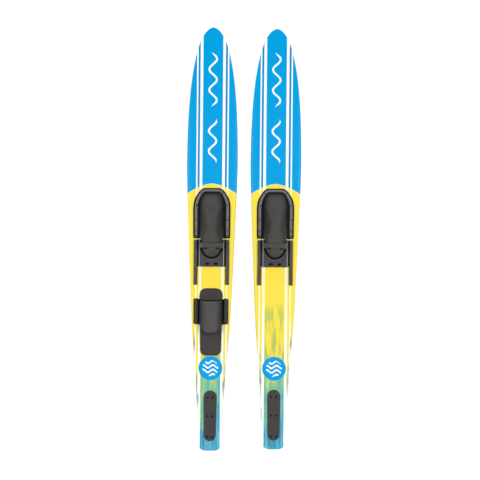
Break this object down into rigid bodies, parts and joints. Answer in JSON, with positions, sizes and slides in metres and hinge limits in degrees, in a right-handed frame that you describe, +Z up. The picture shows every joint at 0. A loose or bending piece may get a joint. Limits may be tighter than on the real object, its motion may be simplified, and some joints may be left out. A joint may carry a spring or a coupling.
{
  "type": "water ski pair",
  "caption": "Pair of combination water skis with rubber toe and sliding heel bindings, a rear toe strap on one ski, and a fin under each tail.",
  "frame": {"origin": "bottom centre of the pair's bounding box, on the floor that the skis rest on", "axes": "+Y along the skis towards the tips, +X from the left ski to the right ski, +Z up from the floor, deck side up"},
  "size_m": [0.462, 1.701, 0.1204],
  "materials": {
    "board": "glossy printed laminate over a foam core",
    "black_rubber": "matt moulded rubber",
    "black_plastic": "moulded nylon with fine grain",
    "grey_plastic": "satin moulded nylon",
    "foam": "grained closed-cell foam",
    "steel": "black oxide stainless screws",
    "spring_steel": "bright spring strip"
  },
  "bodies": {
    "left_ski": {"left_board": "board", "left_fin": "black_plastic", "left_rail_left": "black_plastic", "left_rail_right": "black_plastic", "left_rear_clamp_left": "black_plastic", "left_rear_clamp_right": "black_plastic", "left_rear_footpad": "foam", "left_rear_strap": "black_rubber", "left_tail_plate": "black_plastic", "left_tail_screw_left_1": "steel", "left_tail_screw_left_2": "steel", "left_tail_screw_left_3": "steel", "left_tail_screw_right_1": "steel", "left_tail_screw_right_2": "steel", "left_tail_screw_right_3": "steel", "left_toe_base": "black_plastic", "left_toe_clamp_front": "grey_plastic", "left_toe_clamp_left": "grey_plastic", "left_toe_clamp_right": "grey_plastic", "left_toe_footbed": "foam", "left_toe_rubber": "black_rubber"},
    "left_heel_slider": {"left_heel_base": "black_plastic", "left_heel_cover": "black_plastic", "left_heel_footbed": "foam", "left_heel_rubber": "black_rubber", "left_latch_spring": "spring_steel"},
    "left_latch_left": {"left_latch_left": "black_plastic"},
    "left_latch_right": {"left_latch_right": "black_plastic"},
    "right_ski": {"right_board": "board", "right_fin": "black_plastic", "right_rail_left": "black_plastic", "right_rail_right": "black_plastic", "right_tail_plate": "black_plastic", "right_tail_screw_left_1": "steel", "right_tail_screw_left_2": "steel", "right_tail_screw_left_3": "steel", "right_tail_screw_right_1": "steel", "right_tail_screw_right_2": "steel", "right_tail_screw_right_3": "steel", "right_toe_base": "black_plastic", "right_toe_clamp_front": "grey_plastic", "right_toe_clamp_left": "grey_plastic", "right_toe_clamp_right": "grey_plastic", "right_toe_footbed": "foam", "right_toe_rubber": "black_rubber"},
    "right_heel_slider": {"right_heel_base": "black_plastic", "right_heel_cover": "black_plastic", "right_heel_footbed": "foam", "right_heel_rubber": "black_rubber", "right_latch_spring": "spring_steel"},
    "right_latch_left": {"right_latch_left": "black_plastic"},
    "right_latch_right": {"right_latch_right": "black_plastic"}
  },
  "joints": [
    {"name": "pair_spacing", "type": "slide", "parent": "left_ski", "child": "right_ski", "axis": [1, 0, 0], "range_m": [-0.04, 0.25]},
    {"name": "left_heel_slide", "type": "slide", "parent": "left_ski", "child": "left_heel_slider", "axis": [0, -0.9989, 0.0461], "range_m": [0, 0.07]},
    {"name": "left_latch_left_squeeze", "type": "slide", "parent": "left_heel_slider", "child": "left_latch_left", "axis": [1, 0, 0], "range_m": [0, 0.004], "stiffness_N_per_m": 400, "springref_m": -0.003},
    {"name": "left_latch_right_squeeze", "type": "slide", "parent": "left_heel_slider", "child": "left_latch_right", "axis": [-1, 0, 0], "range_m": [0, 0.004], "stiffness_N_per_m": 400, "springref_m": -0.003},
    {"name": "right_heel_slide", "type": "slide", "parent": "right_ski", "child": "right_heel_slider", "axis": [0, -0.9989, 0.0461], "range_m": [0, 0.07]},
    {"name": "right_latch_left_squeeze", "type": "slide", "parent": "right_heel_slider", "child": "right_latch_left", "axis": [1, 0, 0], "range_m": [0, 0.004], "stiffness_N_per_m": 400, "springref_m": -0.003},
    {"name": "right_latch_right_squeeze", "type": "slide", "parent": "right_heel_slider", "child": "right_latch_right", "axis": [-1, 0, 0], "range_m": [0, 0.004], "stiffness_N_per_m": 400, "springref_m": -0.003}
  ]
}
